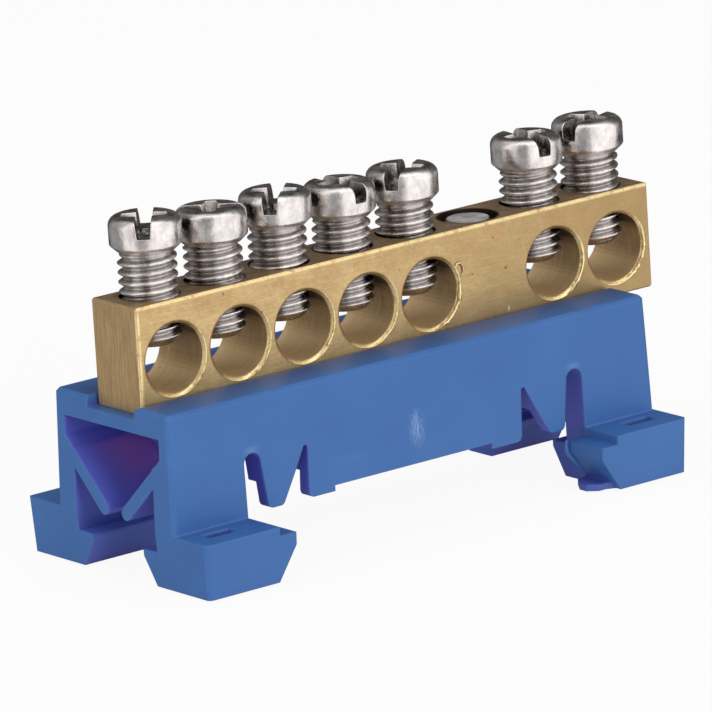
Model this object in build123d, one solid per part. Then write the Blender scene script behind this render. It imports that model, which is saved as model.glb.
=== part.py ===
from build123d import *
import math
import os

os.makedirs("parts", exist_ok=True)

# Neutral terminal bar on a clip-on rail carrier. Millimetres.
# X runs along the bar, Y across it, Z up. The origin lies between the four feet,
# on the plane they stand on. The rail passes between the feet along Y.

# Mounting rail that the hooked feet and the middle walls hold
RAIL_WIDTH = 35.0
RAIL_EDGE_CLEARANCE = 0.3
RAIL_LIP = 1.0
RAIL_LIP_CLEARANCE = 0.07

# Carrier: saddle plate with the groove for the bar. Length and width hold at the
# top; from there the outer faces lean outward by the moulding draft.
CARRIER_LENGTH = 50.2
CARRIER_WIDTH = 15.3
CARRIER_HEIGHT = 14.6
PLATE_THICKNESS = 2.1
GROOVE_DEPTH = 0.95
GROOVE_SIDE_CLEARANCE = 0.18
GROOVE_RIM_ROUNDING = 0.45
CORNER_ROUNDING = 0.5
TOP_EDGE_BEVEL = 0.3
DRAFT_DEG = 1.4

# Carrier: end legs with slanted spring ribs and barbs on their inner faces
LEG_UPPER_THICKNESS = 1.3
LEG_LOWER_THICKNESS = 2.35
RIB_THICKNESS = 1.15
RIB_SLOPE_DEG = 42.8
RIB_GAP = 1.8
RIB_TIP_HEIGHT = 5.5
RIB_ROOT_DEPTH = 0.68
BARB_LEDGE_HEIGHT = 2.95
BARB_LEDGE_FALL = 0.05
BARB_TIP_LAND = 0.6
BARB_REACH = 1.85
BARB_FOOT_BEVEL = 0.4

# Carrier: feet with hooks for the rail lips
FOOT_HEIGHT = 4.65
FOOT_REACH = 4.4
FOOT_ROUNDING = 0.45
FOOT_DRAFT_DEG = 2.5
HOOK_STEP = 0.75
HOOK_REACH = 1.65
HOOK_LAND = 1.05
HOOK_UNDERCUT = 0.2
POCKET_LENGTH = 2.9
POCKET_WIDTH = 1.2
POCKET_DEPTH = 1.6
POCKET_FROM_END = 3.0
POCKET_FROM_LEG = 1.95

# Carrier: middle walls with a spring tooth beside each leg
WALL_THICKNESS = 2.0
SKIRT_THICKNESS = 1.0
WALL_STEP_HEIGHT = 7.1
SLOT_WIDTH = 1.7
SLOT_ROUND_CENTRE = 9.05
SLOT_FLARE = 0.5
TOOTH_BOTTOM_WIDTH = 1.5
NOTCH_APEX_HEIGHT = 9.2
NOTCH_APEX_X = 11.5
NOTCH_APEX_RADIUS = 0.25
NOTCH_KNEE_HEIGHT = 7.5
NOTCH_KNEE_OFFSET = 1.15
SKIRT_LEFT = -11.45
SKIRT_RIGHT = 11.0
SKIRT_ROUNDING = 0.5
RAISE_LEFT = -8.75
RAISE_RIGHT = 7.8
RAISE_HEIGHT = 0.48

# Torn remnant of the moulding gate on the front right foot
GATE_THICKNESS = 0.55
GATE_REACH = 2.05
GATE_WIDTH = 3.9
GATE_FROM_FRONT = 0.45
GATE_ROOT = 0.8
GATE_TEAR = 0.75

# Brass bar
BAR_LENGTH = 54.0
BAR_WIDTH = 6.0
BAR_HEIGHT = 9.0
BAR_LEFT_SETBACK = 1.0
BAR_BEVEL = 0.15
WAY_PITCH = 6.65
FIRST_WAY_FROM_END = 3.71
WIRE_BORE_DIAMETER = 5.8
WIRE_BORE_CENTRE = 4.1
WIRE_BORE_BEVEL = 0.25
RIM_SHARE_OF_WEB = 0.4

# Screws. The thread's ridges are formed over the length under the head that every
# clamp screw holds clear of the bar; the rest of a shank is a plain cylinder at the
# crest diameter.
THREAD_DIAMETER = 4.9
THREAD_PITCH = 0.8
THREAD_DEPTH = 0.42
THREAD_CLEARANCE = 0.05
RIDGED_LENGTH = 2.4
RIDGE_SIDES = 20
CLAMP_LENGTH = 7.8
CLAMP_TIP_BEVEL = 0.75
CLAMP_HEAD_DIAMETER = 6.0
CLAMP_HEAD_HEIGHT = 2.9
CLAMP_HEAD_BEVEL = 0.6
CLAMP_NECK_HEIGHT = 0.5
SLOT_DRIVE_WIDTH = 1.15
SLOT_DRIVE_DEPTH = 1.45
CROSS_DRIVE_WIDTH = 0.95
CROSS_DRIVE_LENGTH = 3.4
FIXING_LENGTH = 10.0
FIXING_TIP_BEVEL = 0.55
FIXING_HEAD_DIAMETER = 8.0
FIXING_HEAD_HEIGHT = 2.8
FIXING_HEAD_BEVEL = 1.0
FIXING_HOLE_CLEARANCE = 0.3

# Ways that carry a clamp screw: way number, height of the head's underside over
# the bar, direction of the driver slot in degrees from X. Way 5 has the fixing screw.
CLAMP_WAYS = (0, 1, 2, 3, 4, 6, 7)
CLAMP_STANDOFF = (3.8, 3.15, 3.25, 2.7, 2.7, 2.85, 3.05)
CLAMP_SLOT_TURN = (50.0, 140.0, 44.0, 90.0, 34.0, 83.0, 19.0)
FIXING_WAY = 5

# Sizes that follow from the ones above
HALF_LENGTH = CARRIER_LENGTH / 2
HALF_WIDTH = CARRIER_WIDTH / 2
SPREAD = (CARRIER_HEIGHT - FOOT_HEIGHT) * math.tan(math.radians(DRAFT_DEG))
BASE_HALF_LENGTH = HALF_LENGTH + SPREAD
BASE_HALF_WIDTH = HALF_WIDTH + SPREAD
LEG_INNER_X = RAIL_WIDTH / 2 + RAIL_EDGE_CLEARANCE
ROOF_Z = CARRIER_HEIGHT - PLATE_THICKNESS
GROOVE_Z = CARRIER_HEIGHT - GROOVE_DEPTH
GROOVE_WIDTH = BAR_WIDTH + 2 * GROOVE_SIDE_CLEARANCE
HOOK_LEDGE_Z = FOOT_HEIGHT - HOOK_STEP
SKIRT_Z = HOOK_LEDGE_Z + RAIL_LIP + RAIL_LIP_CLEARANCE
BAR_LEFT_X = -HALF_LENGTH + BAR_LEFT_SETBACK
BAR_CENTRE_X = BAR_LEFT_X + BAR_LENGTH / 2
BAR_TOP_Z = GROOVE_Z + BAR_HEIGHT
BORE_Z = GROOVE_Z + WIRE_BORE_CENTRE
THREAD_RADIUS = THREAD_DIAMETER / 2
TAPPED_RADIUS = THREAD_RADIUS + THREAD_CLEARANCE


def way_x(way):
    """X of one way, counted from the left end of the bar."""
    return BAR_LEFT_X + FIRST_WAY_FROM_END + way * WAY_PITCH


def outline(*points):
    """Flat face inside a closed line through the points."""
    return make_face(Polyline(*points, close=True))


def along_x(face, x_from, x_to):
    """Solid whose Y-Z section is the face, between two X planes."""
    return extrude(Plane.YZ.offset(x_from) * face, amount=x_to - x_from)


def along_y(face, y_from, y_to):
    """Solid whose X-Z section is the face, between two Y planes."""
    plane = Plane(origin=(0, y_to, 0), x_dir=(1, 0, 0), z_dir=(0, -1, 0))
    return extrude(plane * face, amount=y_to - y_from)


def block(x_from, x_to, y_from, y_to, z_from, z_to):
    """Rectangular block between six planes."""
    centre = ((x_from + x_to) / 2, (y_from + y_to) / 2, (z_from + z_to) / 2)
    return Pos(*centre) * Box(x_to - x_from, y_to - y_from, z_to - z_from)


def leg_section():
    """Y-Z section of one leg on the +Y side, with its rib and barb."""
    upper_y = HALF_WIDTH - LEG_UPPER_THICKNESS
    lower_y = HALF_WIDTH - LEG_LOWER_THICKNESS
    barb_y = lower_y - BARB_REACH
    slope = math.radians(RIB_SLOPE_DEG)
    tip_y = RIB_GAP / 2 + RIB_THICKNESS / 2
    root_y = HALF_WIDTH - RIB_ROOT_DEPTH
    root_z = RIB_TIP_HEIGHT + (root_y - tip_y) * math.tan(slope)
    rib_length = (root_y - tip_y) / math.cos(slope)
    thick_top = root_z - (root_y - upper_y) * math.tan(slope)
    section = outline(
        (upper_y, 0),
        (BASE_HALF_WIDTH, 0),
        (BASE_HALF_WIDTH, ROOF_Z),
        (upper_y, ROOF_Z),
    )
    section += outline(
        (lower_y - BARB_FOOT_BEVEL, 0),
        (upper_y, 0),
        (upper_y, thick_top),
        (lower_y, thick_top),
        (lower_y, BARB_LEDGE_HEIGHT),
        (barb_y, BARB_LEDGE_HEIGHT - BARB_LEDGE_FALL),
        (barb_y, BARB_LEDGE_HEIGHT - BARB_TIP_LAND),
    )
    rib = SlotCenterToCenter(rib_length, RIB_THICKNESS)
    middle = ((tip_y + root_y) / 2, (RIB_TIP_HEIGHT + root_z) / 2)
    section += Pos(*middle) * Rot(0, 0, RIB_SLOPE_DEG) * rib
    return section


def leg_slot(side):
    """Slot between a leg and the spring tooth beside it."""
    inner_x = LEG_INNER_X - SLOT_WIDTH
    centre_x = LEG_INNER_X - SLOT_WIDTH / 2
    slot = outline(
        (side * LEG_INNER_X, SKIRT_Z - 1),
        (side * LEG_INNER_X, SLOT_ROUND_CENTRE),
        (side * inner_x, SLOT_ROUND_CENTRE),
        (side * (inner_x - SLOT_FLARE), SKIRT_Z),
        (side * (inner_x - SLOT_FLARE), SKIRT_Z - 1),
    )
    return slot + Pos(side * centre_x, SLOT_ROUND_CENTRE) * Circle(SLOT_WIDTH / 2)


def tooth_notch(side, skirt_x):
    """Narrow notch between the skirt and a spring tooth."""
    tooth_x = LEG_INNER_X - SLOT_WIDTH - SLOT_FLARE - TOOTH_BOTTOM_WIDTH
    knee_x = NOTCH_APEX_X + NOTCH_KNEE_OFFSET
    notch = outline(
        (skirt_x, SKIRT_Z - 1),
        (skirt_x, SKIRT_Z),
        (side * (NOTCH_APEX_X - NOTCH_APEX_RADIUS), NOTCH_APEX_HEIGHT),
        (side * (NOTCH_APEX_X + NOTCH_APEX_RADIUS), NOTCH_APEX_HEIGHT),
        (side * knee_x, NOTCH_KNEE_HEIGHT),
        (side * tooth_x, SKIRT_Z),
        (side * tooth_x, SKIRT_Z - 1),
    )
    return notch + Pos(side * NOTCH_APEX_X, NOTCH_APEX_HEIGHT) * Circle(NOTCH_APEX_RADIUS)


def wall_outline():
    """X-Z outline of one middle wall: skirt, two notches, two teeth, two slots."""
    wall = outline(
        (-LEG_INNER_X, SKIRT_Z),
        (LEG_INNER_X, SKIRT_Z),
        (LEG_INNER_X, ROOF_Z),
        (-LEG_INNER_X, ROOF_Z),
    )
    wall -= leg_slot(-1) + leg_slot(1)
    wall -= tooth_notch(-1, SKIRT_LEFT) + tooth_notch(1, SKIRT_RIGHT)
    low = wall.vertices().filter_by_position(Axis.Y, SKIRT_Z - 0.01, SKIRT_Z + 0.01)
    wall = fillet(low, SKIRT_ROUNDING)
    wall -= outline(
        (RAISE_LEFT, SKIRT_Z - 1),
        (RAISE_RIGHT, SKIRT_Z - 1),
        (RAISE_RIGHT, SKIRT_Z + RAISE_HEIGHT),
        (RAISE_LEFT, SKIRT_Z + RAISE_HEIGHT),
    )
    return wall


def middle_walls():
    """Front and rear walls, thick above and thin below their inner step."""
    wall = wall_outline()
    upper = wall & outline(
        (-LEG_INNER_X, WALL_STEP_HEIGHT),
        (LEG_INNER_X, WALL_STEP_HEIGHT),
        (LEG_INNER_X, ROOF_Z),
        (-LEG_INNER_X, ROOF_Z),
    )
    thin_y = HALF_WIDTH - SKIRT_THICKNESS
    rear = along_y(wall, thin_y, BASE_HALF_WIDTH)
    rear += along_y(upper, HALF_WIDTH - WALL_THICKNESS, thin_y)
    return rear + mirror(rear, about=Plane.XZ)


def rear_right_foot():
    """Foot block with its rail hook and top pocket."""
    tip_x = LEG_INNER_X - HOOK_REACH
    profile = outline(
        (LEG_INNER_X + HOOK_UNDERCUT, 0),
        (BASE_HALF_LENGTH, 0),
        (BASE_HALF_LENGTH, FOOT_HEIGHT),
        (LEG_INNER_X, FOOT_HEIGHT),
        (LEG_INNER_X, HOOK_LEDGE_Z),
        (tip_x, HOOK_LEDGE_Z),
        (tip_x, HOOK_LEDGE_Z - HOOK_LAND),
    )
    foot = along_y(profile, HALF_WIDTH, HALF_WIDTH + FOOT_REACH)
    pocket_x = HALF_LENGTH - POCKET_FROM_END
    pocket_y = HALF_WIDTH + POCKET_FROM_LEG
    foot -= block(
        pocket_x - POCKET_LENGTH / 2,
        pocket_x + POCKET_LENGTH / 2,
        pocket_y - POCKET_WIDTH / 2,
        pocket_y + POCKET_WIDTH / 2,
        FOOT_HEIGHT - POCKET_DEPTH,
        FOOT_HEIGHT + 1,
    )
    return foot


def gate_stub():
    """Torn gate remnant, flush with the underside of the front right foot."""
    root_x = LEG_INNER_X + GATE_ROOT
    tip_x = LEG_INNER_X - GATE_REACH
    front_y = GATE_FROM_FRONT - HALF_WIDTH - FOOT_REACH
    rear_y = front_y + GATE_WIDTH
    shape = outline(
        (root_x, front_y),
        (tip_x + 2 * GATE_TEAR, front_y + GATE_TEAR),
        (tip_x + GATE_TEAR, front_y + GATE_TEAR),
        (tip_x, front_y + 2 * GATE_TEAR),
        (tip_x, rear_y - 2 * GATE_TEAR),
        (tip_x + GATE_TEAR, rear_y - GATE_TEAR / 2),
        (root_x, rear_y),
    )
    return extrude(shape, amount=GATE_THICKNESS)


def drafted_block(plane, length, width, height, draft, rounding):
    """Block on a plane that narrows with height, rounded along its four corners."""
    shape = extrude(plane * Rectangle(length, width), amount=height, taper=draft)
    corners = shape.edges().filter_by(lambda edge: abs(edge.tangent_at(0.5).Z) > 0.9)
    return fillet(corners, rounding)


def drafted_hull():
    """Outer form that all legs, walls and feet end at, widest at the foot tops."""
    length = 2 * BASE_HALF_LENGTH
    upward = Plane(origin=(0, 0, FOOT_HEIGHT), x_dir=(1, 0, 0), z_dir=(0, 0, 1))
    downward = Plane(origin=(0, 0, FOOT_HEIGHT), x_dir=(1, 0, 0), z_dir=(0, 0, -1))
    rise = CARRIER_HEIGHT - FOOT_HEIGHT
    foot_span = 2 * (HALF_WIDTH + FOOT_REACH)
    hull = drafted_block(upward, length, 2 * BASE_HALF_WIDTH, rise, DRAFT_DEG, CORNER_ROUNDING)
    hull += drafted_block(downward, length, foot_span, FOOT_HEIGHT, FOOT_DRAFT_DEG, FOOT_ROUNDING)
    return hull


def bar_groove():
    """Cutter for the groove, with rounded rims along both sides."""
    half = GROOVE_WIDTH / 2
    flare = half + GROOVE_RIM_ROUNDING
    rim_z = CARRIER_HEIGHT - GROOVE_RIM_ROUNDING
    section = outline(
        (-half, GROOVE_Z),
        (half, GROOVE_Z),
        (half, rim_z),
        (flare, rim_z),
        (flare, CARRIER_HEIGHT + 1),
        (-flare, CARRIER_HEIGHT + 1),
        (-flare, rim_z),
        (-half, rim_z),
    )
    section -= Pos(flare, rim_z) * Circle(GROOVE_RIM_ROUNDING)
    section -= Pos(-flare, rim_z) * Circle(GROOVE_RIM_ROUNDING)
    return along_x(section, -BASE_HALF_LENGTH, BASE_HALF_LENGTH)


def carrier():
    """Moulded rail carrier in one piece."""
    body = block(
        -BASE_HALF_LENGTH, BASE_HALF_LENGTH,
        -BASE_HALF_WIDTH, BASE_HALF_WIDTH,
        ROOF_Z, CARRIER_HEIGHT,
    )
    section = leg_section()
    foot = rear_right_foot()
    right_side = along_x(section, LEG_INNER_X, BASE_HALF_LENGTH) + foot
    right_side += mirror(right_side, about=Plane.XZ)
    body += right_side + mirror(right_side, about=Plane.YZ)
    body += middle_walls()
    body &= drafted_hull()
    rims = body.edges().filter_by_position(Axis.Z, CARRIER_HEIGHT - 0.01, CARRIER_HEIGHT + 0.01)
    body = chamfer(rims, TOP_EDGE_BEVEL)
    body -= bar_groove()
    body += gate_stub()
    hole = Cylinder(THREAD_RADIUS + FIXING_HOLE_CLEARANCE, 2 * CARRIER_HEIGHT)
    body -= Pos(way_x(FIXING_WAY), 0, CARRIER_HEIGHT) * hole & block(
        -HALF_LENGTH, HALF_LENGTH, -HALF_WIDTH, HALF_WIDTH, ROOF_Z - 1, CARRIER_HEIGHT
    )
    return body


def brass_bar():
    """Bar with wire bores, bevelled at their front rims, and tapped holes from the top."""
    bar = Pos(BAR_CENTRE_X, 0, GROOVE_Z + BAR_HEIGHT / 2) * Box(BAR_LENGTH, BAR_WIDTH, BAR_HEIGHT)
    bar = chamfer(bar.edges(), BAR_BEVEL)
    for way in CLAMP_WAYS:
        bore = Cylinder(WIRE_BORE_DIAMETER / 2, BAR_WIDTH + 2)
        bar -= Pos(way_x(way), 0, BORE_Z) * Rot(90, 0, 0) * bore
    front_rims = bar.edges().filter_by(GeomType.CIRCLE).group_by(Axis.Y)[0]
    web = WAY_PITCH - WIRE_BORE_DIAMETER
    bar = chamfer(front_rims, min(WIRE_BORE_BEVEL, RIM_SHARE_OF_WEB * web))
    for way in CLAMP_WAYS:
        depth = BAR_TOP_Z - BORE_Z
        bar -= Pos(way_x(way), 0, BORE_Z + depth / 2 + 0.5) * Cylinder(TAPPED_RADIUS, depth + 1)
    through = Cylinder(TAPPED_RADIUS, BAR_HEIGHT + 2)
    bar -= Pos(way_x(FIXING_WAY), 0, GROOVE_Z + BAR_HEIGHT / 2) * through
    return bar


def ridged_neck():
    """Thread ridges under the head: each ring widens to its crest and narrows again."""
    crest = RegularPolygon(THREAD_RADIUS, RIDGE_SIDES)
    half_pitch = THREAD_PITCH / 2
    fall = THREAD_DEPTH * math.cos(math.pi / RIDGE_SIDES)
    flank = math.degrees(math.atan(fall / half_pitch))
    half_ring = extrude(crest, amount=half_pitch, taper=flank)
    ring = half_ring + mirror(half_ring, about=Plane.XY)
    neck = Pos(0, 0, -half_pitch) * ring
    for turn in range(1, round(RIDGED_LENGTH / THREAD_PITCH)):
        neck += Pos(0, 0, -half_pitch - turn * THREAD_PITCH) * ring
    return neck


def clamp_screw(standoff, slot_turn):
    """Clamp screw with slotted and crossed drive; the head's underside at Z 0."""
    head_radius = CLAMP_HEAD_DIAMETER / 2
    shank = outline(
        (0, -CLAMP_LENGTH),
        (THREAD_RADIUS - CLAMP_TIP_BEVEL, -CLAMP_LENGTH),
        (THREAD_RADIUS, -CLAMP_LENGTH + CLAMP_TIP_BEVEL),
        (THREAD_RADIUS, -RIDGED_LENGTH),
        (0, -RIDGED_LENGTH),
    )
    head = outline(
        (0, 0),
        (THREAD_RADIUS, 0),
        (head_radius, CLAMP_NECK_HEIGHT),
        (head_radius, CLAMP_HEAD_HEIGHT - CLAMP_HEAD_BEVEL),
        (head_radius - CLAMP_HEAD_BEVEL, CLAMP_HEAD_HEIGHT),
        (0, CLAMP_HEAD_HEIGHT),
    )
    screw = revolve(Plane.XZ * shank, Axis.Z) + revolve(Plane.XZ * head, Axis.Z)
    screw += ridged_neck()
    slot_z = CLAMP_HEAD_HEIGHT - SLOT_DRIVE_DEPTH / 2 + 0.5
    drive = Box(CLAMP_HEAD_DIAMETER + 1, SLOT_DRIVE_WIDTH, SLOT_DRIVE_DEPTH + 1)
    drive += Box(CROSS_DRIVE_WIDTH, CROSS_DRIVE_LENGTH, SLOT_DRIVE_DEPTH + 1)
    screw -= Pos(0, 0, slot_z) * drive
    return Pos(0, 0, BAR_TOP_Z + standoff) * Rot(0, 0, slot_turn) * screw


def fixing_screw():
    """Screw driven up through the carrier plate into the bar."""
    head_radius = FIXING_HEAD_DIAMETER / 2
    profile = Plane.XZ * outline(
        (0, -FIXING_HEAD_HEIGHT),
        (head_radius - FIXING_HEAD_BEVEL, -FIXING_HEAD_HEIGHT),
        (head_radius, FIXING_HEAD_BEVEL - FIXING_HEAD_HEIGHT),
        (head_radius, 0),
        (THREAD_RADIUS, 0),
        (THREAD_RADIUS, FIXING_LENGTH - FIXING_TIP_BEVEL),
        (THREAD_RADIUS - FIXING_TIP_BEVEL, FIXING_LENGTH),
        (0, FIXING_LENGTH),
    )
    screw = revolve(profile, Axis.Z)
    cross_z = -FIXING_HEAD_HEIGHT + SLOT_DRIVE_DEPTH / 2 - 0.5
    cross = Box(CROSS_DRIVE_LENGTH, CROSS_DRIVE_WIDTH, SLOT_DRIVE_DEPTH + 1)
    cross += Box(CROSS_DRIVE_WIDTH, CROSS_DRIVE_LENGTH, SLOT_DRIVE_DEPTH + 1)
    screw -= Pos(0, 0, cross_z) * cross
    return Pos(way_x(FIXING_WAY), 0, ROOF_Z) * screw


export_step(carrier(), "parts/carrier.step")
export_step(brass_bar(), "parts/brass_bar.step")
export_step(fixing_screw(), "parts/fixing_screw.step")
for number, way in enumerate(CLAMP_WAYS):
    screw = clamp_screw(CLAMP_STANDOFF[number], CLAMP_SLOT_TURN[number])
    export_step(Pos(way_x(way), 0, 0) * screw, f"parts/clamp_screw_{number + 1}.step")
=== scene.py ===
import math
import random

import bmesh
import bpy
from mathutils import Matrix, Vector

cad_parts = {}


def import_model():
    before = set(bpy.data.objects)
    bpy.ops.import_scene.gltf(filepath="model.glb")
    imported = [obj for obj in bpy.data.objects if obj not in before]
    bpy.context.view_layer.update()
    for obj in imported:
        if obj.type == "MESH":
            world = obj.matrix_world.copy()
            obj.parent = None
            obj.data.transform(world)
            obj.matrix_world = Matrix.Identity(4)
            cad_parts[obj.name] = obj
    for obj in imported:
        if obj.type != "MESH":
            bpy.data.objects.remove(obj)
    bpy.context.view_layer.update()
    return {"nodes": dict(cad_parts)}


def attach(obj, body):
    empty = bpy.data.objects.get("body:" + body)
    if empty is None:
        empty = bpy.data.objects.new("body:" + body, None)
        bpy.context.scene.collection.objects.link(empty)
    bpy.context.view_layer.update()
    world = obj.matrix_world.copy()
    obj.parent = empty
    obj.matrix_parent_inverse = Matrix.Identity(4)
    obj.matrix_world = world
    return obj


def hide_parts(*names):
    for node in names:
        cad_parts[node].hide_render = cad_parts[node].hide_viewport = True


MM = 0.001

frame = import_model()
nodes = frame["nodes"]

# Sizes shared with the solids, in millimetres
WAY_FIRST_X = -20.39
WAY_PITCH = 6.65
FIXING_WAY = 5
LAST_WAY = 7
BAR_LEFT_X = -24.1
BAR_FRONT_Y = -3.0
BAR_TOP_Z = 22.65
BORE_Z = 17.75
BORE_R = 2.9
ROOF_Z = 12.5
THREAD_PITCH = 0.8
CREST_R = 2.45
ROOT_R = 2.03
CLAMP_LENGTH = 7.8
CLAMP_TIP_R = 1.7
CLAMP_HEAD_R = 3.0
CLAMP_HEAD_HEIGHT = 2.9
FIXING_LENGTH = 10.0
FIXING_HEAD_R = 4.0
FIXING_HEAD_HEIGHT = 2.8

# Edges of the rebuilt screws, rounder than the solids', in millimetres
CLAMP_HEAD_BEVEL = 0.75
FIXING_HEAD_BEVEL = 1.4
FIXING_TIP_R = 1.78

# Places where painted shade inside the channel, and painted shade and reflection on the screw heads, begin,
# in millimetres
OUTER_END_X = 24.8
OUTER_WALL_Y = 7.3
FEET_TO_Z = 4.7
HEADS_FROM_Z = 26.6

# Clamp screws: number, way, height of the head's underside over the bar, slot's turn in degrees
CLAMPS = (
    (1, 0, 3.8, 50.0),
    (2, 1, 3.15, 140.0),
    (3, 2, 3.25, 44.0),
    (4, 3, 2.7, 90.0),
    (5, 4, 2.7, 34.0),
    (6, 6, 2.85, 83.0),
    (7, 7, 3.05, 19.0),
)

# Marks in the photo: centre and half sizes of each in millimetres, with the specks' display colours
# The first mark is painted shade over the gate stub.
GATE_STUB_SHADE = (15.6, -9.3, 0.2), (3.2, 3.4, 1.2)
SCUFF = (0.1, -7.75, 8.4), (1.0, 0.6, 1.9)
BLUSH_SIZE = (1.0, 0.6, 0.45)
BLUSHES = (-16.95, -7.75, 10.15), (16.95, -7.75, 10.15)
FRONT_SPECKS = (
    ((-15.2, BAR_FRONT_Y, 22.1), (0.16, 0.3, 0.16), (60, 46, 30)),
    ((14.2, BAR_FRONT_Y, 18.4), (0.2, 0.3, 0.16), (64, 50, 32)),
    ((14.3, BAR_FRONT_Y, 14.9), (0.16, 0.3, 0.3), (255, 240, 200)),
)


# Material helpers

class Nodes:
    """Short way to write a node tree: add a node, set its sockets, link what is a socket."""

    def __init__(self, tree):
        self.tree = tree

    def add(self, kind, out=0, props=None, **sockets):
        node = self.tree.nodes.new(kind)
        for key, value in (props or {}).items():
            setattr(node, key, value)
        for key, value in sockets.items():
            name = key.replace("_", " ")
            socket = node.inputs[int(key[1:])] if key[0] == "i" and key[1:].isdigit() else node.inputs[name]
            if isinstance(value, bpy.types.NodeSocket):
                self.tree.links.new(value, socket)
            else:
                socket.default_value = value
        return node.outputs[out]

    def math(self, op, a, b=0.0, clamp=False):
        return self.add("ShaderNodeMath", props={"operation": op, "use_clamp": clamp}, i0=a, i1=b)

    def mix(self, fac, a, b):
        node = self.tree.nodes.new("ShaderNodeMix")
        node.data_type = "RGBA"
        for index, value in ((0, fac), (6, a), (7, b)):
            if isinstance(value, bpy.types.NodeSocket):
                self.tree.links.new(value, node.inputs[index])
            elif index == 0:
                node.inputs[index].default_value = value
            else:
                node.inputs[index].default_value = (*value, 1.0)
        return node.outputs[2]

    def ramp(self, fac, low, high, out_low=0.0, out_high=1.0):
        return self.add(
            "ShaderNodeMapRange", props={"clamp": True},
            Value=fac, From_Min=low, From_Max=high, To_Min=out_low, To_Max=out_high,
        )


def srgb(r, g, b):
    """Linear colour from 0 to 255 display values."""
    return tuple(((c / 255 + 0.055) / 1.055) ** 2.4 if c > 10 else c / 255 / 12.92 for c in (r, g, b))


def new_material(name):
    """Material with its tree, shader, node writer and the place in millimetres at rest."""
    material = bpy.data.materials.new(name)
    material.use_nodes = True
    tree = material.node_tree
    shader = tree.nodes["Principled BSDF"]
    n = Nodes(tree)
    coords = n.add("ShaderNodeTexCoord", out=3)
    place = n.add("ShaderNodeVectorMath", props={"operation": "SCALE"}, Vector=coords, Scale=1000.0)
    return material, tree, shader, n, place


def noise(n, place, scale, detail=2.0, rough=0.5, stretch=None):
    if stretch:
        place = n.add("ShaderNodeVectorMath", props={"operation": "MULTIPLY"}, i0=place, i1=stretch)
    return n.add("ShaderNodeTexNoise", Vector=place, Scale=scale, Detail=detail, Roughness=rough)


def edge_mask(n, radius, low, high):
    """1 near a convex or concave edge, from how far a rounded normal leaves the flat one."""
    rounded = n.add("ShaderNodeBevel", props={"samples": 8}, Radius=radius)
    flat = n.add("ShaderNodeNewGeometry", out=3)
    dot = n.add("ShaderNodeVectorMath", out=1, props={"operation": "DOT_PRODUCT"}, i0=rounded, i1=flat)
    return n.ramp(dot, high, low)


def blob(n, place, centre, size):
    """1 at a centre, falling to 0 at an ellipsoid's surface; sizes in millimetres."""
    away = n.add("ShaderNodeVectorMath", props={"operation": "SUBTRACT"}, i0=place, i1=centre)
    scaled = n.add("ShaderNodeVectorMath", props={"operation": "DIVIDE"}, i0=away, i1=size)
    length = n.add("ShaderNodeVectorMath", out=1, props={"operation": "LENGTH"}, i0=scaled)
    return n.ramp(length, 1.0, 0.0)


def way_places(n, parts):
    """Distances from the nearest bore and screw axes, 1 at the fixing screw's way, and offsets in X and Z."""
    count = n.math("DIVIDE", n.math("SUBTRACT", parts[0], WAY_FIRST_X), WAY_PITCH)
    nearest = n.math("MINIMUM", n.math("MAXIMUM", n.math("ROUND", count), 0), LAST_WAY)
    dx = n.math("MULTIPLY", n.math("SUBTRACT", count, nearest), WAY_PITCH)
    dz = n.math("SUBTRACT", parts[2], BORE_Z)
    bore = n.math("SQRT", n.math("ADD", n.math("MULTIPLY", dx, dx), n.math("MULTIPLY", dz, dz)))
    screw = n.math("SQRT", n.math("ADD", n.math("MULTIPLY", dx, dx), n.math("MULTIPLY", parts[1], parts[1])))
    fixing = n.math("COMPARE", nearest, FIXING_WAY)
    return bore, screw, fixing, dx, dz


def facing(n, normal, direction, low, high):
    """1 where the surface faces a direction."""
    dot = n.add("ShaderNodeVectorMath", out=1, props={"operation": "DOT_PRODUCT"}, i0=normal, i1=direction)
    return n.ramp(dot, low, high)


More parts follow.
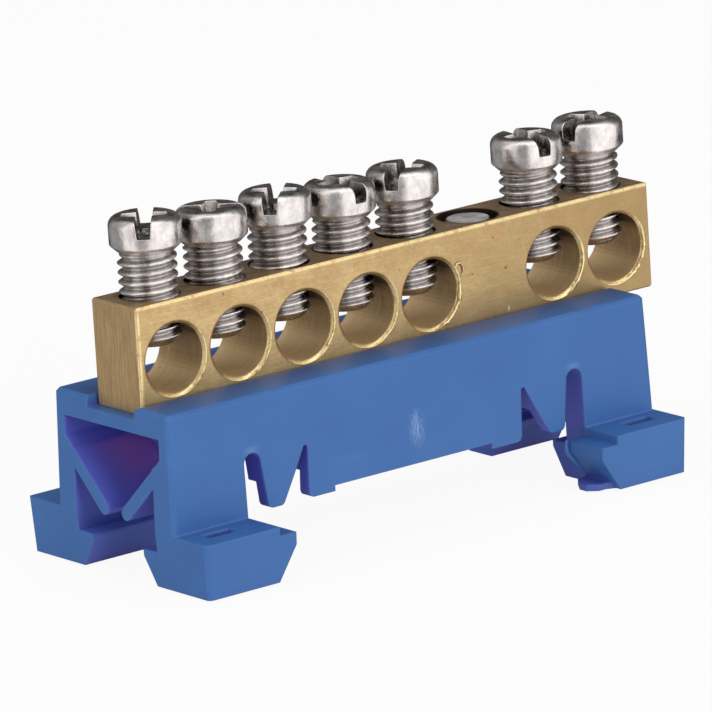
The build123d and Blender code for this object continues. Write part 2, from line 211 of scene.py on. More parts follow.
def blue_moulding():
    material, tree, shader, n, place = new_material("blue_moulding")
    cloud = noise(n, place, 0.12, 3.0)
    colour = n.mix(n.ramp(cloud, 0.3, 0.7), srgb(59, 103, 165), srgb(64, 110, 172))
    flow = noise(n, place, 0.5, 2.0, 0.6, (0.15, 1.0, 1.0))
    colour = n.mix(n.ramp(flow, 0.62, 0.8, 0.0, 0.3), colour, srgb(80, 122, 181))
    # Painted highlight: faces turn lighter near their edges.
    edges = edge_mask(n, 0.35 * MM, 0.86, 0.995)
    colour = n.mix(n.math("MULTIPLY", edges, 0.3), colour, srgb(96, 144, 204))
    open_air = n.add("ShaderNodeAmbientOcclusion", out=1, props={"samples": 12}, Distance=9 * MM)
    parts = n.add("ShaderNodeSeparateXYZ", Vector=place).node.outputs
    across = n.math("ABSOLUTE", parts[1])
    lengthwise = n.math("ABSOLUTE", parts[0])
    normal = n.add("ShaderNodeNewGeometry", out=3)
    turned = n.add("ShaderNodeVectorMath", props={"operation": "ABSOLUTE"}, i0=normal)
    at_end = n.ramp(lengthwise, OUTER_END_X - 0.2, OUTER_END_X)
    on_end = n.math("MULTIPLY", facing(n, turned, (1, 0, 0), 0.85, 0.95), at_end)
    at_side = n.ramp(across, OUTER_WALL_Y - 0.2, OUTER_WALL_Y)
    on_side = n.math("MULTIPLY", facing(n, turned, (0, 1, 0), 0.85, 0.95), at_side)
    limit = n.ramp(parts[2], FEET_TO_Z, FEET_TO_Z + 0.05, OUTER_WALL_Y, OUTER_WALL_Y + 0.9)
    within = n.math("MULTIPLY", n.math("LESS_THAN", across, limit), n.ramp(parts[2], ROOF_Z + 0.1, ROOF_Z))
    near_end = n.ramp(lengthwise, OUTER_END_X - 0.3, OUTER_END_X - 0.25)
    at_corner = n.math("MULTIPLY", near_end, n.ramp(across, OUTER_WALL_Y - 0.3, OUTER_WALL_Y - 0.25))
    outside = n.math("MAXIMUM", at_corner, n.math("MAXIMUM", on_end, on_side))
    within = n.math("SUBTRACT", within, outside, clamp=True)
    # Painted shade: the channel's inner faces take a violet blue, more of it above the feet.
    inner_shade_share = n.math("MULTIPLY", within, n.ramp(parts[2], 3.5, 5.5, 0.5, 0.8))
    colour = n.mix(inner_shade_share, colour, (0.145, 0.155, 0.67))
    # Painted shade: tight crevices turn dark violet blue.
    tight_air = n.add("ShaderNodeAmbientOcclusion", out=1, props={"samples": 8}, Distance=1.8 * MM)
    crevice_shade = n.ramp(tight_air, 0.62, 0.36)
    colour = n.mix(n.math("MULTIPLY", crevice_shade, 0.55), colour, (0.1, 0.1, 0.42))
    # Painted shade: the gate stub turns dark violet blue.
    stub_shade = n.math("MULTIPLY", blob(n, place, *GATE_STUB_SHADE), 1.6, clamp=True)
    colour = n.mix(n.math("MULTIPLY", stub_shade, 0.6), colour, (0.1, 0.1, 0.42))
    # Painted shade and reflection: the ledge tops beside the bar turn darker and greyer.
    up = facing(n, normal, (0, 0, 1), 0.9, 0.98)
    near_bar = n.math("MULTIPLY", up, n.ramp(across, 7.4, 4.4))
    land_shade = n.math("MULTIPLY", n.ramp(parts[2], 13.9, 14.1), near_bar)
    colour = n.mix(n.math("MULTIPLY", land_shade, 0.6), colour, srgb(60, 74, 112))
    # Painted shade: deep inside the channel, where little light reaches, the faces turn dark violet.
    deep = n.math("MULTIPLY", n.ramp(across, 5.6, 5.0), n.ramp(lengthwise, OUTER_END_X, 21.0))
    deep = n.math("MULTIPLY", deep, n.ramp(parts[2], 5.0, 8.0))
    shade = n.math("MULTIPLY", n.math("MULTIPLY", n.ramp(open_air, 0.62, 0.22), within), deep)
    colour = n.mix(n.math("MULTIPLY", shade, 0.9), colour, (0.46, 0.17, 0.5))
    streak = noise(n, place, 3.0, 3.0, 0.6, (3.0, 1.0, 0.6))
    scuff = n.math("MULTIPLY", blob(n, place, *SCUFF), n.ramp(streak, 0.4, 0.6))
    colour = n.mix(n.math("MULTIPLY", scuff, 0.8), colour, srgb(150, 182, 220))
    for centre in BLUSHES:
        blush = n.math("MULTIPLY", blob(n, place, centre, BLUSH_SIZE), 0.4)
        colour = n.mix(blush, colour, srgb(120, 160, 208))
    tree.links.new(colour, shader.inputs["Base Color"])
    grain = noise(n, place, 9.0, 4.0, 0.6)
    rough = n.ramp(grain, 0.3, 0.7, 0.38, 0.5)
    tree.links.new(rough, shader.inputs["Roughness"])
    swell = noise(n, place, 0.35, 2.0, 0.5)
    height = n.math("ADD", n.math("MULTIPLY", grain, 0.5), n.math("MULTIPLY", swell, 3.0))
    rounded = n.add("ShaderNodeBevel", props={"samples": 8}, Radius=0.3 * MM)
    bump = n.add("ShaderNodeBump", Height=height, Strength=0.12, Distance=0.03 * MM, Normal=rounded)
    tree.links.new(bump, shader.inputs["Normal"])
    shader.inputs["Specular IOR Level"].default_value = 0.35
    material.diffuse_color = (*srgb(70, 112, 172), 1.0)
    return material


def brass():
    material, tree, shader, n, place = new_material("brass")
    normal = n.add("ShaderNodeNewGeometry", out=3)
    parts = n.add("ShaderNodeSeparateXYZ", Vector=place).node.outputs
    on_top = facing(n, normal, (0, 0, 1), 0.6, 0.95)
    on_left_end = facing(n, normal, (-1, 0, 0), 0.8, 0.98)
    on_end = n.math("MAXIMUM", on_left_end, facing(n, normal, (1, 0, 0), 0.8, 0.98))
    bore, screw, fixing, parts_dx, parts_dz = way_places(n, parts)
    lower_right = n.math("SUBTRACT", n.math("MULTIPLY", parts_dx, 0.8), n.math("MULTIPLY", parts_dz, 0.6))
    lower_right = n.math("DIVIDE", lower_right, bore)
    bored = n.math("SUBTRACT", 1.0, fixing)
    bore_wall = n.ramp(bore, BORE_R + 0.06, BORE_R + 0.02)
    in_bore = n.math("MULTIPLY", bore_wall, n.math("SUBTRACT", bored, on_end, clamp=True))
    near_front = n.ramp(parts[1], BAR_FRONT_Y + 0.32, BAR_FRONT_Y + 0.28)
    front_rim = n.math("MULTIPLY", n.ramp(bore, BORE_R + 0.34, BORE_R + 0.3), near_front)
    front_rim = n.math("MULTIPLY", front_rim, n.math("SUBTRACT", bored, in_bore, clamp=True))

    mottle = noise(n, place, 0.5, 6.0, 0.68)
    fine = noise(n, place, 4.2, 5.0, 0.75)
    along = noise(n, place, 1.0, 5.0, 0.7, (0.35, 1.0, 7.0))
    upright = noise(n, place, 1.0, 5.0, 0.75, (1.0, 6.0, 0.28))
    about_y = {"rotation_type": "Y_AXIS"}
    slanting = n.add("ShaderNodeVectorRotate", props=about_y, Vector=place, Angle=0.5)
    scratches = noise(n, slanting, 1.0, 3.0, 0.6, (0.5, 1.0, 9.0))
    colour = n.mix(n.ramp(mottle, 0.34, 0.66), srgb(182, 154, 106), srgb(204, 175, 127))
    colour = n.mix(n.ramp(fine, 0.45, 0.72, 0.0, 0.6), colour, srgb(166, 136, 84))
    colour = n.mix(n.ramp(along, 0.5, 0.72, 0.0, 0.5), colour, srgb(234, 205, 150))
    colour = n.mix(n.ramp(scratches, 0.64, 0.74, 0.0, 0.4), colour, srgb(156, 128, 84))
    colour = n.mix(n.ramp(scratches, 0.34, 0.26, 0.0, 0.6), colour, srgb(255, 232, 186))
    # Painted shade: the bar grows darker towards +X.
    colour = n.mix(n.ramp(parts[0], -2.0, 26.0, 0.0, 0.68), colour, srgb(152, 126, 86))
    clouds = n.ramp(noise(n, place, 0.4, 4.0, 0.65), 0.46, 0.62)
    tarnish = n.math("MULTIPLY", clouds, n.ramp(parts[2], 19.0, 22.2))
    colour = n.mix(n.math("MULTIPLY", tarnish, 0.4), colour, srgb(178, 132, 88))
    end_tone = n.mix(n.ramp(upright, 0.34, 0.66), srgb(212, 181, 135), srgb(162, 129, 87))
    end_tone = n.mix(n.ramp(mottle, 0.52, 0.72, 0.0, 0.5), end_tone, srgb(158, 124, 88))
    colour = n.mix(n.math("MULTIPLY", on_end, 0.9), colour, end_tone)
    # Painted reflection: the top face is darker, standing in for the dark surroundings it mirrors.
    bar_top_dark_reflection = n.mix(n.ramp(along, 0.3, 0.7), srgb(136, 110, 82), srgb(194, 164, 124))
    bar_top_dark_reflection = n.mix(n.ramp(fine, 0.5, 0.75, 0.0, 0.6), bar_top_dark_reflection, srgb(88, 68, 54))
    colour = n.mix(n.math("MULTIPLY", on_top, 0.92), colour, bar_top_dark_reflection)

    rings = noise(n, place, 1.0, 4.0, 0.7, (0.25, 9.0, 0.25))
    bore_tone = n.mix(n.ramp(rings, 0.35, 0.65), srgb(222, 190, 140), srgb(244, 212, 162))
    # Painted shadow: each bore wall darkens towards its top, under the screw's thread.
    upward = n.math("ADD", n.math("MULTIPLY", parts_dx, 0.3), parts_dz)
    bore_tone = n.mix(n.ramp(upward, 0.1, 1.8, 0.0, 0.6), bore_tone, srgb(142, 112, 72))
    thread_shadow = n.ramp(upward, 0.7, 1.8)
    bore_tone = n.mix(n.math("MULTIPLY", thread_shadow, 0.92), bore_tone, srgb(64, 54, 42))
    colour = n.mix(in_bore, colour, bore_tone)
    ragged = noise(n, place, 1.7, 4.0, 0.72)
    # Painted highlight: a ragged glint on the lower right of each front rim; the rest of the rim is painted
    # shade.
    glint = n.math("MULTIPLY", n.ramp(lower_right, -0.1, 0.5), n.ramp(ragged, 0.38, 0.5))
    glint = n.math("MULTIPLY", glint, front_rim)
    rim_glint_and_shade = n.mix(glint, srgb(168, 134, 84), srgb(255, 230, 168))
    colour = n.mix(front_rim, colour, rim_glint_and_shade)

    # Worn edges in nicks, brightened as painted highlight on the top, left and lower left edges; the right
    # edge takes painted shade.
    nick = n.ramp(noise(n, place, 1.4, 4.0, 0.7), 0.3, 0.5)
    top_edge = facing(n, normal, (0, -0.707, 0.707), 0.88, 0.96)
    left_edge = facing(n, normal, (-0.707, -0.707, 0), 0.88, 0.96)
    right_edge = facing(n, normal, (0.707, -0.707, 0), 0.88, 0.96)
    low_edge = facing(n, normal, (-0.707, 0, -0.707), 0.88, 0.96)
    on_front = facing(n, normal, (0, -1, 0), 0.9, 0.98)
    along_top = n.ramp(parts[2], BAR_TOP_Z - 0.36, BAR_TOP_Z - 0.16)
    strip = n.math("MAXIMUM", along_top, n.ramp(parts[0], BAR_LEFT_X + 0.38, BAR_LEFT_X + 0.2))
    strip = n.math("MULTIPLY", n.math("MULTIPLY", strip, on_front), 0.75)
    past_end = n.ramp(parts[0], BAR_LEFT_X + 0.1, BAR_LEFT_X + 0.2)
    low_edge = n.math("SUBTRACT", low_edge, past_end, clamp=True)
    bevelled = n.math("MAXIMUM", n.math("MAXIMUM", top_edge, left_edge), low_edge)
    worn_and_lit_edges = n.math("MULTIPLY", n.math("MAXIMUM", bevelled, strip), nick)
    colour = n.mix(worn_and_lit_edges, colour, srgb(255, 228, 168))
    colour = n.mix(n.math("MULTIPLY", right_edge, 0.8), colour, srgb(150, 96, 70))
    edges = edge_mask(n, 0.16 * MM, 0.88, 0.99)
    colour = n.mix(n.math("MULTIPLY", edges, n.math("MULTIPLY", nick, 0.4)), colour, srgb(250, 222, 168))

    # Painted shade in the tapped holes above the bores and in the gap around the fixing screw's tip.
    tapped_wall = n.ramp(screw, CREST_R + 0.15, CREST_R + 0.09)
    thread_hole_shade = n.math("MULTIPLY", tapped_wall, n.ramp(parts[2], BORE_Z + 2.2, BORE_Z + 2.5))
    tip_ring = n.ramp(screw, CREST_R + 0.25, CREST_R + 0.17)
    tip_gap_shade = n.math("MULTIPLY", tip_ring, n.math("MULTIPLY", fixing, on_top))
    colour = n.mix(n.math("MAXIMUM", thread_hole_shade, tip_gap_shade), colour, srgb(52, 40, 28))
    pits = n.add("ShaderNodeTexVoronoi", Vector=place, Scale=0.62)
    pit = n.ramp(pits, 0.07, 0.03)
    colour = n.mix(n.math("MULTIPLY", pit, 0.7), colour, srgb(92, 72, 46))
    for centre, size, tone in FRONT_SPECKS:
        colour = n.mix(blob(n, place, centre, size), colour, srgb(*tone))
    tree.links.new(colour, shader.inputs["Base Color"])
    shader.inputs["Metallic"].default_value = 0.62
    shader.inputs["Specular IOR Level"].default_value = 0.3
    rough = n.ramp(fine, 0.3, 0.75, 0.34, 0.52)
    bright = n.math("MAXIMUM", worn_and_lit_edges, glint)
    rough = n.add("ShaderNodeMix", props={"data_type": "FLOAT"}, i0=bright, i2=rough, i3=0.24)
    tree.links.new(rough, shader.inputs["Roughness"])
    brushed = n.math("MULTIPLY", n.math("MULTIPLY", along, 0.8), n.math("SUBTRACT", 1.0, on_end))
    saw = n.math("ADD", brushed, n.math("MULTIPLY", upright, on_end))
    saw = n.math("ADD", saw, n.math("MULTIPLY", n.math("MULTIPLY", rings, in_bore), 0.7))
    height = n.math("ADD", saw, n.math("MULTIPLY", fine, 0.9))
    height = n.math("ADD", height, n.math("MULTIPLY", n.math("MULTIPLY", ragged, front_rim), 4.0))
    height = n.math("SUBTRACT", height, n.math("MULTIPLY", pit, 1.5))
    rounded = n.add("ShaderNodeBevel", props={"samples": 8}, Radius=0.1 * MM)
    bump = n.add("ShaderNodeBump", Height=height, Strength=0.45, Distance=0.035 * MM, Normal=rounded)
    tree.links.new(bump, shader.inputs["Normal"])
    return material


def plated_steel():
    material, tree, shader, n, place = new_material("plated_steel")
    normal = n.add("ShaderNodeNewGeometry", out=3)
    mottle = noise(n, place, 0.9, 4.0, 0.6)
    fine = noise(n, place, 5.0, 4.0, 0.7)
    streaks = noise(n, place, 1.0, 4.0, 0.6, (2.5, 2.5, 0.6))
    colour = n.mix(n.ramp(mottle, 0.35, 0.7), srgb(198, 192, 190), srgb(238, 231, 227))
    colour = n.mix(n.ramp(streaks, 0.5, 0.75, 0.0, 0.5), colour, srgb(168, 160, 158))
    colour = n.mix(n.ramp(fine, 0.58, 0.8, 0.0, 0.5), colour, srgb(140, 132, 128))
    on_top = facing(n, normal, (0, 0, 1), 0.9, 0.99)
    # Painted reflection: the heads' tops are darker and mottled, standing in for the dark surroundings they
    # mirror.
    head_top_dark_reflection = n.mix(n.ramp(mottle, 0.4, 0.62), srgb(120, 114, 112), srgb(206, 200, 198))
    parts = n.add("ShaderNodeSeparateXYZ", Vector=place).node.outputs
    in_head = n.ramp(parts[2], HEADS_FROM_Z, HEADS_FROM_Z + 0.2)
    screw = way_places(n, parts)[1]
    # Painted shade in the thread's roots, below the crests.
    below_crest = n.ramp(screw, CREST_R - 0.09, CREST_R - 0.33)
    root_shade = n.math("SUBTRACT", below_crest, n.math("MAXIMUM", in_head, on_top), clamp=True)
    colour = n.mix(n.math("MULTIPLY", root_shade, 0.5), colour, srgb(104, 100, 98))
    # Painted reflection on the heads' tops.
    colour = n.mix(n.math("MULTIPLY", n.math("MULTIPLY", on_top, in_head), 0.85), colour, head_top_dark_reflection)
    # Painted shade in the drive recesses, broken by light flecks.
    open_air = n.add("ShaderNodeAmbientOcclusion", out=1, props={"samples": 10}, Distance=1.6 * MM)
    drive_shade = n.math("MULTIPLY", n.ramp(open_air, 0.85, 0.5), in_head)
    flecks = noise(n, place, 1.5, 5.0, 0.75)
    drive_shade_tone = n.mix(n.ramp(flecks, 0.5, 0.6), srgb(58, 50, 48), srgb(226, 220, 216))
    colour = n.mix(n.math("MULTIPLY", drive_shade, 0.92), colour, drive_shade_tone)
    tree.links.new(colour, shader.inputs["Base Color"])
    shader.inputs["Metallic"].default_value = 1.0
    on_tip = n.math("SUBTRACT", on_top, in_head, clamp=True)
    rough = n.ramp(mottle, 0.3, 0.7, 0.2, 0.36)
    rough = n.math("ADD", rough, n.math("MULTIPLY", on_tip, 0.35))
    tree.links.new(rough, shader.inputs["Roughness"])
    dents = noise(n, place, 0.8, 3.0, 0.6)
    height = n.math("ADD", n.math("MULTIPLY", dents, 1.2), n.math("MULTIPLY", fine, 0.22))
    rounded = n.add("ShaderNodeBevel", props={"samples": 8}, Radius=0.16 * MM)
    bump = n.add("ShaderNodeBump", Height=height, Strength=0.55, Distance=0.07 * MM, Normal=rounded)
    tree.links.new(bump, shader.inputs["Normal"])
    return material


BLUE = blue_moulding()
BRASS = brass()
STEEL = plated_steel()


def dress(obj, material):
    obj.data.materials.clear()
    obj.data.materials.append(material)


dress(nodes["carrier"], BLUE)
dress(nodes["brass_bar"], BRASS)


# Screws

# Driver slot and cross recesses: plans at the bottom and at the top, and their heights
SLOT_PLANS = (3.6, 0.53), (3.6, 0.72)
SLOT_HEIGHTS = 1.45, 3.3
CROSS_PLANS = (0.75, 0.22, 0.4), (2.0, 0.5, 0.75)
CROSS_HEIGHTS = 0.9, 3.1
FIXING_CROSS_PLANS = (1.9, 0.5, 0.75), (0.7, 0.22, 0.4)
FIXING_CROSS_HEIGHTS = -3.2, -1.0


def lathe(rows, steps=80):
    """Closed mesh around Z. A row is (z, radius or function of the angle)."""
    bm = bmesh.new()
    rings = []
    for z, radius in rows:
        if radius == 0:
            rings.append([bm.verts.new((0, 0, z * MM))])
            continue
        ring = []
        for i in range(steps):
            angle = 2 * math.pi * i / steps
            r = (radius(angle) if callable(radius) else radius) * MM
            ring.append(bm.verts.new((r * math.cos(angle), r * math.sin(angle), z * MM)))
        rings.append(ring)
    for low, high in zip(rings, rings[1:]):
        for i in range(steps):
            j = (i + 1) % steps
            if len(low) == 1:
                bm.faces.new((low[0], high[j], high[i]))
            elif len(high) == 1:
                bm.faces.new((low[i], low[j], high[0]))
            else:
                bm.faces.new((low[i], low[j], high[j], high[i]))
    return bm


def thread_radius(z, start, end, tip_z, tip_r):
    """Radius around one level of a right-hand thread that runs out at both ends."""
    fade = min(1.0, max(0.0, (z - start) / 0.5), max(0.0, (end - z) / 0.4))
    limit = tip_r + abs(z - tip_z)

    def radius(angle):
        phase = (z / THREAD_PITCH - angle / (2 * math.pi)) % 1.0
        flank = abs(phase - 0.5) * 2
        height = 1 - max(0.0, min(1.0, (flank - 0.12) / 0.76))
        height = height * height * (3 - 2 * height) * 0.35 + height * 0.65
        r = ROOT_R + (CREST_R - ROOT_R) * height * fade
        return min(r, limit)

    return radius


def arc_rows(z0, r0, z1, r1, centre_z, centre_r, steps=6):
    """Rows along a quarter arc between two points of a profile."""
    a0 = math.atan2(z0 - centre_z, r0 - centre_r)
    a1 = math.atan2(z1 - centre_z, r1 - centre_r)
    size = math.hypot(z0 - centre_z, r0 - centre_r)
    rows = []
    for k in range(1, steps + 1):
        angle = a0 + (a1 - a0) * k / steps
        rows.append((centre_z + size * math.sin(angle), centre_r + size * math.cos(angle)))
    return rows


def prism(low_plan, high_plan, low, high, name):
    """Upright prism from a plan at its bottom to one at its top."""
    bm = bmesh.new()
    bottom = [bm.verts.new((x * MM, y * MM, low * MM)) for x, y in low_plan]
    top = [bm.verts.new((x * MM, y * MM, high * MM)) for x, y in high_plan]
    bm.faces.new(list(reversed(bottom)))
    bm.faces.new(top)
    for i in range(len(bottom)):
        j = (i + 1) % len(bottom)
        bm.faces.new((bottom[i], bottom[j], top[j], top[i]))
    return mesh_object(bm, name)


def mesh_object(bm, name):
    bmesh.ops.recalc_face_normals(bm, faces=bm.faces)
    mesh = bpy.data.meshes.new(name)
    bm.to_mesh(mesh)
    bm.free()
    obj = bpy.data.objects.new(name, mesh)
    bpy.context.scene.collection.objects.link(obj)
    return obj


def cut(obj, cutters):
    """Takes the cutters' shapes out of the object's mesh and deletes them."""
    for cutter in cutters:
        change = obj.modifiers.new("cut", "BOOLEAN")
        change.operation = "DIFFERENCE"
        change.solver = "EXACT"
        change.object = cutter
    graph = bpy.context.evaluated_depsgraph_get()
    mesh = bpy.data.meshes.new_from_object(obj.evaluated_get(graph))
    obj.modifiers.clear()
    obj.data = mesh
    for cutter in cutters:
        bpy.data.objects.remove(cutter)


def smooth(obj, angle=35.0):
    """Smooth shading with hard edges where faces meet by more than an angle in degrees."""
    obj.data.shade_smooth()
    bm = bmesh.new()
    bm.from_mesh(obj.data)
    for edge in bm.edges:
        if len(edge.link_faces) == 2:
            edge.smooth = edge.calc_face_angle(0.0) < math.radians(angle)
    bm.to_mesh(obj.data)
    bm.free()


def oblong(reach, half):
    """Plan of a slot."""
    return (-reach, -half), (reach, -half), (reach, half), (-reach, half)


def star(reach, half, waist):
    """Plan of a four-armed cross recess."""
    points = []
    for k in range(4):
        turn = k * math.pi / 2
        for x, y in ((reach, -half), (reach, half), (waist, waist)):
            points.append((x * math.cos(turn) - y * math.sin(turn), x * math.sin(turn) + y * math.cos(turn)))
    return points


def shank_rows(z_from, z_to, tip_z, tip_r, per_pitch=14):
    """Rows of a threaded shank, with its bevelled tip."""
    rows = []
    count = int(abs(z_to - z_from) / THREAD_PITCH * per_pitch)
    for k in range(count + 1):
        z = z_from + (z_to - z_from) * k / count
        rows.append((z, thread_radius(z, min(z_from, z_to) - 0.3, max(z_from, z_to), tip_z, tip_r)))
    return rows


def clamp_mesh():
    """One clamp screw with its head's underside at Z 0."""
    tip_z = -CLAMP_LENGTH
    bevel_z = CLAMP_HEAD_HEIGHT - CLAMP_HEAD_BEVEL
    bevel_r = CLAMP_HEAD_R - CLAMP_HEAD_BEVEL
    rows = [(tip_z, 0), (tip_z, CLAMP_TIP_R)]
    rows += shank_rows(tip_z + 0.02, -0.05, tip_z, CLAMP_TIP_R)
    rows += [(0.0, 2.2), (0.02, 2.42), (0.5, 2.93), (0.62, CLAMP_HEAD_R), (bevel_z, CLAMP_HEAD_R)]
    rows += arc_rows(bevel_z, CLAMP_HEAD_R, CLAMP_HEAD_HEIGHT, bevel_r, bevel_z, bevel_r)
    rows += [(CLAMP_HEAD_HEIGHT, 1.1), (CLAMP_HEAD_HEIGHT, 0)]
    screw = mesh_object(lathe(rows, 96), "clamp_master")
    slot = prism(*(oblong(*plan) for plan in SLOT_PLANS), *SLOT_HEIGHTS, "slot_cutter")
    cross = prism(*(star(*plan) for plan in CROSS_PLANS), *CROSS_HEIGHTS, "cross_cutter")
    cut(screw, [slot, cross])
    smooth(screw)
    return screw


def fixing_mesh():
    """The fixing screw, tip up, with its head's top at Z 0."""
    bottom_z = -FIXING_HEAD_HEIGHT
    bevel_z = bottom_z + FIXING_HEAD_BEVEL
    bevel_r = FIXING_HEAD_R - FIXING_HEAD_BEVEL
    rows = [(bottom_z, 0), (bottom_z, bevel_r)]
    rows += arc_rows(bottom_z, bevel_r, bevel_z, FIXING_HEAD_R, bevel_z, bevel_r)
    rows += [(-0.1, FIXING_HEAD_R), (0.0, FIXING_HEAD_R - 0.1), (0.0, 2.2)]
    rows += shank_rows(0.1, FIXING_LENGTH - 0.02, FIXING_LENGTH, FIXING_TIP_R)
    rows += [(FIXING_LENGTH, FIXING_TIP_R), (FIXING_LENGTH, 0)]
    screw = mesh_object(lathe(rows, 80), "fixing_screw_dressed")
    cross = prism(*(star(*plan) for plan in FIXING_CROSS_PLANS), *FIXING_CROSS_HEIGHTS, "cross_cutter")
    cut(screw, [cross])
    smooth(screw)
    return screw


master = clamp_mesh()
for number, way, standoff, turn in CLAMPS:
    screw = bpy.data.objects.new(f"clamp_screw_{number}_dressed", master.data.copy())
    bpy.context.scene.collection.objects.link(screw)
    x = (WAY_FIRST_X + WAY_PITCH * way) * MM
    z = (BAR_TOP_Z + standoff) * MM
    screw.data.transform(Matrix.Translation((x, 0, z)) @ Matrix.Rotation(math.radians(turn), 4, "Z"))
    dress(screw, STEEL)
    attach(screw, f"clamp_{number}")
    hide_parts(f"clamp_screw_{number}")
bpy.data.objects.remove(master)

fixing = fixing_mesh()
fixing_x = (WAY_FIRST_X + WAY_PITCH * FIXING_WAY) * MM
fixing.data.transform(Matrix.Translation((fixing_x, 0, ROOF_Z * MM)))
dress(fixing, STEEL)
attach(fixing, "base")
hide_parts("fixing_screw")


# Burrs and flash

# Burrs: way, first and last angle from +X in degrees, thickness, seed
RIM_BURRS = (
    (0, -78, -18, 0.09, 3),
    (1, -80, -10, 0.1, 5),
    (2, -72, 8, 0.11, 8),
    (3, -80, -5, 0.1, 13),
    (4, -88, 14, 0.19, 21),
    (6, -70, 22, 0.16, 34),
    (7, -84, 26, 0.17, 55),
)
CURL_PATH = (
    (8.85, -3.0, 19.35), (9.0, -3.06, 19.78), (9.35, -3.1, 19.8),
    (9.62, -3.1, 19.45), (9.66, -3.08, 19.0), (9.4, -3.0, 18.6),
)
CURL_THICKNESS = (0.06, 0.09, 0.1, 0.12, 0.1, 0.06)
FLASH_PATH = (
    (16.05, -7.42, 3.92), (15.96, -7.45, 3.4), (16.02, -7.5, 2.85), (16.4, -7.7, 2.3),
    (16.95, -7.9, 1.6), (17.5, -8.0, 0.95), (17.72, -7.92, 0.5), (17.72, -7.8, 0.2),
)
FLASH_THICKNESS = (0.1, 0.2, 0.22, 0.24, 0.2, 0.18, 0.2, 0.12)


def bead(name, path, thickness, sides=8):
    """Closed bead of changing thickness along a path of points in millimetres."""
    bm = bmesh.new()
    rings = []
    for k, (spot, thick) in enumerate(zip(path, thickness)):
        along = (Vector(path[min(k + 1, len(path) - 1)]) - Vector(path[max(k - 1, 0)])).normalized()
        out = along.cross(Vector((0, 1, 0))).normalized()
        over = along.cross(out)
        ring = []
        for i in range(sides):
            angle = 2 * math.pi * i / sides
            away = out * math.cos(angle) + over * math.sin(angle)
            ring.append(bm.verts.new((Vector(spot) + away * thick) * MM))
        rings.append(ring)
    for low, high in zip(rings, rings[1:]):
        for i in range(sides):
            j = (i + 1) % sides
            bm.faces.new((low[i], low[j], high[j], high[i]))
    bm.faces.new(rings[0])
    bm.faces.new(rings[-1])
    return mesh_object(bm, name)


def add_bead(name, path, thickness, material):
    """Bead that stays on the base."""
    piece = bead(name, path, thickness)
    smooth(piece, 60.0)
    dress(piece, material)
    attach(piece, "base")


def rim_burr(way, first, last, thick, seed):
    """Ragged burr that the drill left along part of a bore's front rim; angles from +X, in degrees."""
    chance = random.Random(seed)
    count = int(abs(last - first) / 4.5)
    path, thickness = [], []
    for k in range(count + 1):
        angle = math.radians(first + (last - first) * k / count)
        reach = BORE_R + 0.16 + chance.uniform(-0.05, 0.05)
        fade = min(1.0, (k + 0.4) / 4, (count - k + 0.4) / 4)
        path.append((
            WAY_FIRST_X + WAY_PITCH * way + reach * math.cos(angle),
            BAR_FRONT_Y + 0.04 - chance.uniform(0.0, 0.04),
            BORE_Z + reach * math.sin(angle),
        ))
        thickness.append(thick * fade * chance.uniform(0.45, 1.15))
    add_bead(f"rim_burr_{way + 1}", path, thickness, BRASS)


for burr in RIM_BURRS:
    rim_burr(*burr)
add_bead("rim_curl", CURL_PATH, CURL_THICKNESS, BRASS)
add_bead("hook_flash", FLASH_PATH, FLASH_THICKNESS, BLUE)


# Floor, light and camera

WORLD_LIGHT = 0.35
FLOOR_WHITE = 0.93
FLOOR_REACH = 6.0
FLOOR_Z = -0.0002
CAMERA_SIDE = 127.5

# Soft boxes that metal mirrors: first and last angle to the camera's right, softness, strength
SOFT_BOXES = (
    (8, 106, 6, 1.32),
    (-80, -34, 7, 1.2),
    (-34, 8, 8, 0.3),
    (-140, -90, 8, 0.28),
)
GAP_LIGHT = 0.1

# Camera fitted to the photo: place in metres, turns in degrees, the rest in the photo's pixels
CAMERA_PLACE = (-0.43665, -0.56856, 0.19639)
CAMERA_TURNS = (37.537, 14.317, -3.609)
PHOTO_SIZE = 712.0
FOCAL_LENGTH = 8960.5
PHOTO_CENTRE = (355.25, 353.84)
SENSOR_MM = 36.0


def floor():
    bm = bmesh.new()
    bm.faces.new([bm.verts.new((x, y, FLOOR_Z)) for x, y in oblong(FLOOR_REACH, FLOOR_REACH)])
    plane = mesh_object(bm, "floor")
    material = bpy.data.materials.new("floor")
    material.use_nodes = True
    tree = material.node_tree
    tree.nodes.clear()
    n = Nodes(tree)
    seen = n.add("ShaderNodeLightPath", out="Is Camera Ray")
    matt = n.add("ShaderNodeBsdfDiffuse", Color=(0.86, 0.86, 0.86, 1))
    glow = n.add("ShaderNodeEmission", Color=(1, 1, 1, 1), Strength=1.0)
    mixed = n.add("ShaderNodeMixShader", i0=n.math("MULTIPLY", seen, FLOOR_WHITE), i1=matt, i2=glow)
    out = tree.nodes.new("ShaderNodeOutputMaterial")
    tree.links.new(mixed, out.inputs["Surface"])
    plane.data.materials.append(material)
    plane.visible_glossy = False


def panel(n, turn, low, high, soft):
    """1 between two angles around the object, in degrees to the right of the camera."""
    rise = n.ramp(turn, math.radians(low - soft), math.radians(low + soft))
    fall = n.ramp(turn, math.radians(high + soft), math.radians(high - soft))
    return n.math("MULTIPLY", rise, fall)


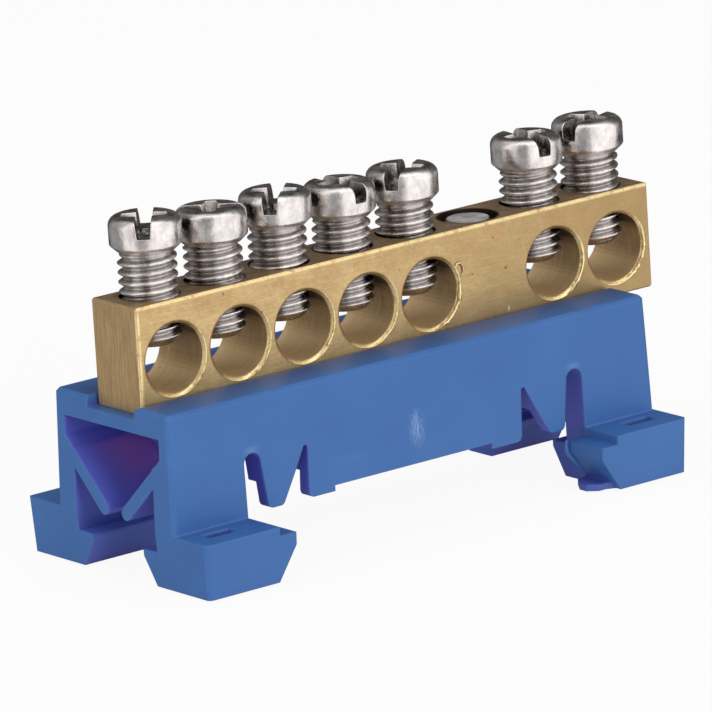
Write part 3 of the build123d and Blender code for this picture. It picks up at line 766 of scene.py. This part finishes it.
def world():
    """Even light and a white view; metal sees soft boxes with grey and dark gaps between them."""
    made = bpy.data.worlds.new("studio")
    made.use_nodes = True
    tree = made.node_tree
    tree.nodes.clear()
    n = Nodes(tree)
    path = tree.nodes.new("ShaderNodeLightPath")
    towards = n.add("ShaderNodeTexCoord", out=0)
    about_z = {"rotation_type": "Z_AXIS"}
    turned = n.add("ShaderNodeVectorRotate", props=about_z, Vector=towards, Angle=math.radians(CAMERA_SIDE))
    parts = n.add("ShaderNodeSeparateXYZ", Vector=turned).node.outputs
    turn = n.math("ARCTAN2", parts[1], parts[0])
    above = n.ramp(parts[2], 0.75, 0.95, 0.0, 0.7)
    mirrored = n.math("ADD", above, GAP_LIGHT)
    for low, high, soft, bright in SOFT_BOXES:
        box = n.math("MULTIPLY", panel(n, turn, low, high, soft), bright)
        mirrored = n.math("ADD", mirrored, box)
    seen = n.math("MAXIMUM", path.outputs["Is Camera Ray"], path.outputs["Is Transmission Ray"])
    plain = n.math("ADD", n.math("MULTIPLY", seen, 1 - WORLD_LIGHT), WORLD_LIGHT)
    glossy = path.outputs["Is Glossy Ray"]
    strength = n.add("ShaderNodeMix", props={"data_type": "FLOAT"}, i0=glossy, i2=plain, i3=mirrored)
    light = n.add("ShaderNodeBackground", Color=(1, 1, 1, 1), Strength=strength)
    out = tree.nodes.new("ShaderNodeOutputWorld")
    tree.links.new(light, out.inputs["Surface"])
    made.cycles.sampling_method = "NONE"
    bpy.context.scene.world = made


def lamp(name, place, size, power):
    """Soft rectangular lamp that faces the object; reflections come from the world's soft boxes."""
    data = bpy.data.lights.new(name, "AREA")
    data.shape = "RECTANGLE"
    data.size, data.size_y = size
    data.energy = power
    data.specular_factor = 0.0
    obj = bpy.data.objects.new(name, data)
    bpy.context.scene.collection.objects.link(obj)
    obj.visible_glossy = False
    obj.location = place
    towards = Vector((0, 0, 0.012)) - Vector(place)
    obj.rotation_euler = towards.to_track_quat("-Z", "Y").to_euler()


def around(turn, height, distance):
    """Place at an angle to the right of the camera, seen from the object."""
    yaw = math.radians(turn - CAMERA_SIDE)
    return (distance * math.cos(yaw), distance * math.sin(yaw), height)


def camera():
    yaw, pitch, roll = (math.radians(v) for v in CAMERA_TURNS)
    ahead = Vector((math.sin(yaw) * math.cos(pitch), math.cos(yaw) * math.cos(pitch), -math.sin(pitch)))
    right = Vector((math.cos(yaw), -math.sin(yaw), 0))
    up = right.cross(ahead)
    turned_right = math.cos(roll) * right + math.sin(roll) * up
    turned_up = -math.sin(roll) * right + math.cos(roll) * up
    data = bpy.data.cameras.new("camera")
    data.sensor_width = SENSOR_MM
    data.lens = FOCAL_LENGTH * SENSOR_MM / PHOTO_SIZE
    data.clip_start = 0.05
    data.shift_x = (PHOTO_SIZE / 2 - PHOTO_CENTRE[0]) / PHOTO_SIZE
    data.shift_y = (PHOTO_CENTRE[1] - PHOTO_SIZE / 2) / PHOTO_SIZE
    obj = bpy.data.objects.new("camera", data)
    bpy.context.scene.collection.objects.link(obj)
    obj.matrix_world = Matrix((
        (turned_right.x, turned_up.x, -ahead.x, CAMERA_PLACE[0]),
        (turned_right.y, turned_up.y, -ahead.y, CAMERA_PLACE[1]),
        (turned_right.z, turned_up.z, -ahead.z, CAMERA_PLACE[2]),
        (0, 0, 0, 1),
    ))
    bpy.context.scene.camera = obj


floor()
world()
lamp("key_right", around(36, 0.35, 0.95), (0.5, 0.6), 5.0)
lamp("fill_left", around(-55, 0.3, 0.9), (0.45, 0.5), 3.0)
lamp("top", (0.1, 0.1, 1.0), (0.8, 0.8), 2.2)
camera()

view = bpy.context.scene.view_settings
view.view_transform = "Standard"
